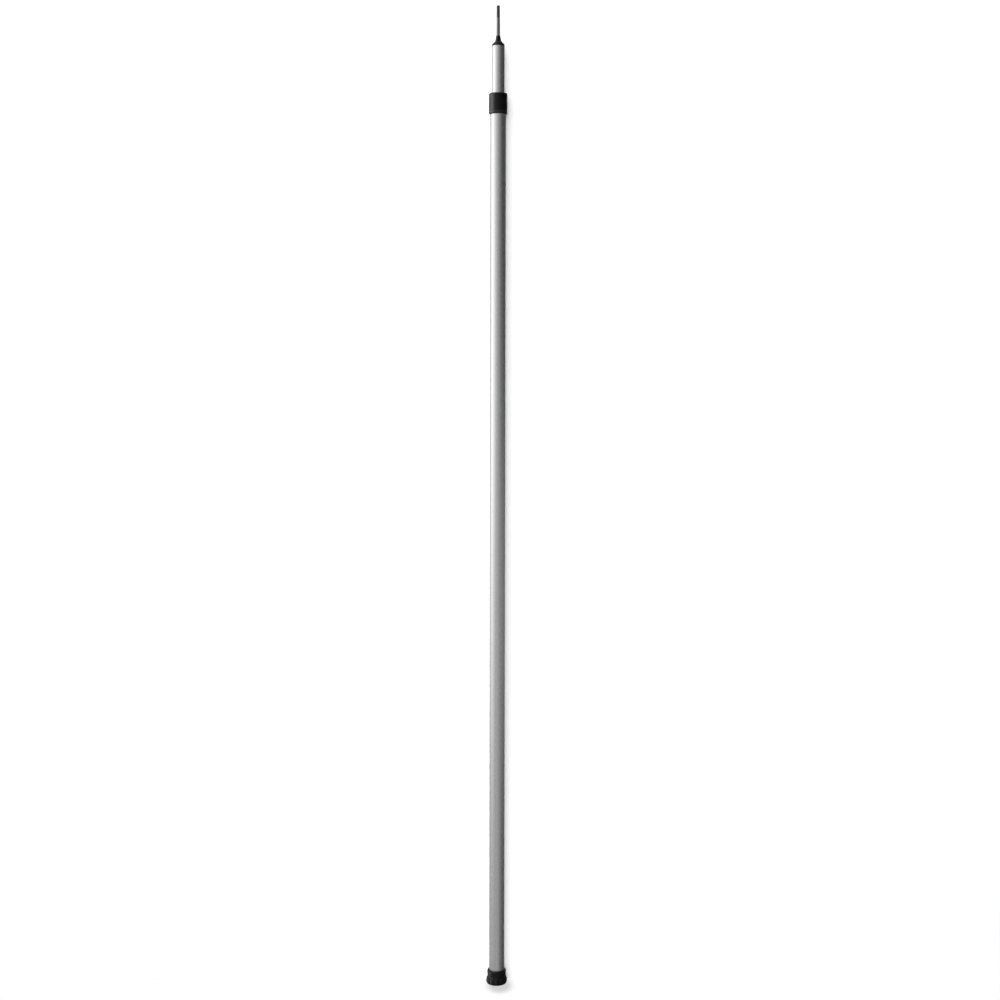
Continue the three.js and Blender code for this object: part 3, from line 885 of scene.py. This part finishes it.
def pale(name, own_light, albedo, facing, contact=False):
    """Pale matt sheet that glows, so it stays near white with only soft shadows on it.
    It shows only to a camera in front of it (facing: the least cosine)."""
    m = bpy.data.materials.new(name)
    m.use_nodes = True
    net = Net(m.node_tree)
    out = net.node("ShaderNodeOutputMaterial")
    glow = net.node("ShaderNodeEmission")
    glow.inputs[0].default_value = (1, 1, 1, 1)
    net.plug(glow.inputs[1], contact_shadow(net, own_light) if contact else own_light)
    matt = net.node("ShaderNodeBsdfDiffuse")
    matt.inputs[0].default_value = (albedo, albedo, albedo, 1)
    both = net.node("ShaderNodeAddShader")
    net.plug(both.inputs[0], glow.outputs[0])
    net.plug(both.inputs[1], matt.outputs[0])
    clear = net.node("ShaderNodeBsdfTransparent")
    geo = net.node("ShaderNodeNewGeometry")
    dot = net.node("ShaderNodeVectorMath", operation="DOT_PRODUCT")
    net.plug(dot.inputs[0], geo.outputs["Incoming"])
    net.plug(dot.inputs[1], geo.outputs["True Normal"])
    head_on = net.step(dot.outputs["Value"], lo=facing, hi=facing + 0.03)
    mix = net.node("ShaderNodeMixShader")
    net.plug(mix.inputs[0], net.mul(net.sub(1.0, geo.outputs["Backfacing"]), head_on))
    net.plug(mix.inputs[1], clear.outputs[0])
    net.plug(mix.inputs[2], both.outputs[0])
    net.plug(out.inputs[0], mix.outputs[0])
    return m


BACK_Y = 0.019
FLOOR_Z = -0.0002  # just under the foot
M_BACK = pale("backdrop_paper", own_light=0.055, albedo=0.80, facing=0.90)
M_FLOOR = pale("floor_paper", own_light=1.0, albedo=0.0, facing=0.02, contact=True)
backdrop = stage_plane(
    "backdrop", [(x, BACK_Y, z) for x, z in ((-3, 0.0), (3, 0.0), (3, 4.0), (-3, 4.0))], M_BACK
)
stage_plane("floor", [(x, y, FLOOR_Z) for x, y in ((-4, -4), (4, -4), (4, 4), (-4, 4))], M_FLOOR)


def wide_light(name, direction, energy, angle, receivers):
    """A broad soft light from far away that only the receivers see."""
    data = bpy.data.lights.new(name, "SUN")
    data.energy = energy
    data.angle = math.radians(angle)
    ob = bpy.data.objects.new(name, data)
    scene.collection.objects.link(ob)
    ob.rotation_mode = "QUATERNION"
    ob.rotation_quaternion = Vector(direction).to_track_quat("-Z", "Y")
    seen_by = bpy.data.collections.new(name + "_receivers")
    for receiver in receivers:
        seen_by.objects.link(bpy.data.objects[receiver])
    ob.light_linking.receiver_collection = seen_by


def from_side(azimuth, elevation):
    """The way light travels from that azimuth (0 towards the camera, negative to its left)."""
    turn, lift = math.radians(azimuth), math.radians(elevation)
    return (-math.sin(turn) * math.cos(lift), math.cos(turn) * math.cos(lift), -math.sin(lift))


# The backdrop's lights; then the side light rims the black mouldings, and a low one the foot.
# name, direction of travel, energy, angular size in degrees, receivers
for light in (
    ("backdrop_light", (10.2, 19.0, -11.0), 2.80, 62.0, ["backdrop"]),
    ("backdrop_fill", (0.0, 1.0, -0.10), 1.62, 22.0, ["backdrop"]),
    ("side_light", from_side(-84.0, 10.0), 1.75, 52.0, ["collar_shell", "tip_cone"]),
    ("low_card", from_side(-96.0, -17.0), 0.36, 28.0, ["foot_rubber"]),
):
    wide_light(*light)


def room_glow(net):
    """Brightness of the room by direction: a large soft key on the left, a dark right side
    with a faint low fill, and a dome overhead. Angles are in degrees."""
    x, y, z = net.split(net.node("ShaderNodeTexCoord").outputs["Generated"])
    deg = 180 / math.pi
    # azimuth: 0 towards the camera, negative to its left
    az = net.mul(net.math("ARCTAN2", x, net.mul(y, -1.0)), deg)
    el = net.mul(net.math("ARCSINE", z), deg)
    # the fall-off towards the dark right side starts sooner higher up
    shifted = net.add(az, net.step(el, lo=-8.0, hi=6.0, to_lo=0.0, to_hi=18.0))
    base = net.sub(0.35, net.mul(net.step(shifted, lo=-5.0, hi=90.0), 0.29))
    base = net.add(base, net.mul(net.step(az, lo=148.0, hi=178.0), 0.35))
    key_strength, fill_strength = 1.00, 0.20
    key = net.mul(
        net.bell(az, centre=-96.0, width=58.0),
        net.step(el, lo=-21.0, hi=-1.0),
        key_strength,
        net.step(az, lo=-158.0, hi=-96.0),
    )
    fill = net.mul(
        net.bell(az, centre=85.0, width=55.0), net.bell(el, centre=-9.0, width=7.0), fill_strength
    )
    dome = net.step(el, lo=30.0, hi=75.0, to_lo=0.0, to_hi=0.25)
    # lower down, the room shows in the tube as faint long bands
    low_down = net.step(el, lo=-5.0, hi=-14.0)
    light_band = net.mul(net.bell(az, centre=4.0, width=12.0), 0.020)
    dark_band = net.mul(net.bell(az, centre=-34.0, width=17.0), 0.040)
    key = net.add(key, net.mul(net.sub(light_band, dark_band), low_down))
    return net.add(net.add(base, key), net.add(fill, dome))


# The room lights the pole, and the camera sees plain white.
world = bpy.data.worlds.new("studio")
scene.world = world
world.use_nodes = True
net = Net(world.node_tree)
out = net.node("ShaderNodeOutputWorld")
glow = room_glow(net)
room = net.node("ShaderNodeBackground")
grey = net.node("ShaderNodeCombineColor")
for socket in grey.inputs:
    socket.default_value = 1.0
ROOM_STRENGTH = 1.05
net.plug(room.inputs[0], grey.outputs[0])
net.plug(room.inputs[1], net.mul(glow, ROOM_STRENGTH))
white = net.node("ShaderNodeBackground")
white.inputs[0].default_value = (1, 1, 1, 1)
white.inputs[1].default_value = 1.0
pick = net.node("ShaderNodeMixShader")
net.plug(pick.inputs[0], net.node("ShaderNodeLightPath").outputs["Is Camera Ray"])
net.plug(pick.inputs[1], room.outputs[0])
net.plug(pick.inputs[2], white.outputs[0])
net.plug(out.inputs[0], pick.outputs[0])
scene.view_settings.view_transform = "Standard"
scene.view_settings.look = "None"

# ------------------------------------------------------------------ camera
CAMERA_PLACE = (0.0044, -2.754, 1.10)
PITCH_DOWN, ROLL = math.radians(5.212), math.radians(0.11)
cam_data = bpy.data.cameras.new("camera")
cam_data.sensor_width = 36.0
cam_data.lens = 58.435
cam_data.clip_end = 50.0
camera = bpy.data.objects.new("camera", cam_data)
scene.collection.objects.link(camera)
camera.matrix_world = (
    Matrix.Translation(CAMERA_PLACE)
    @ Matrix.Rotation(math.pi / 2 - PITCH_DOWN, 4, "X")
    @ Matrix.Rotation(ROLL, 4, "Z")
)
scene.camera = camera

bpy.context.view_layer.update()
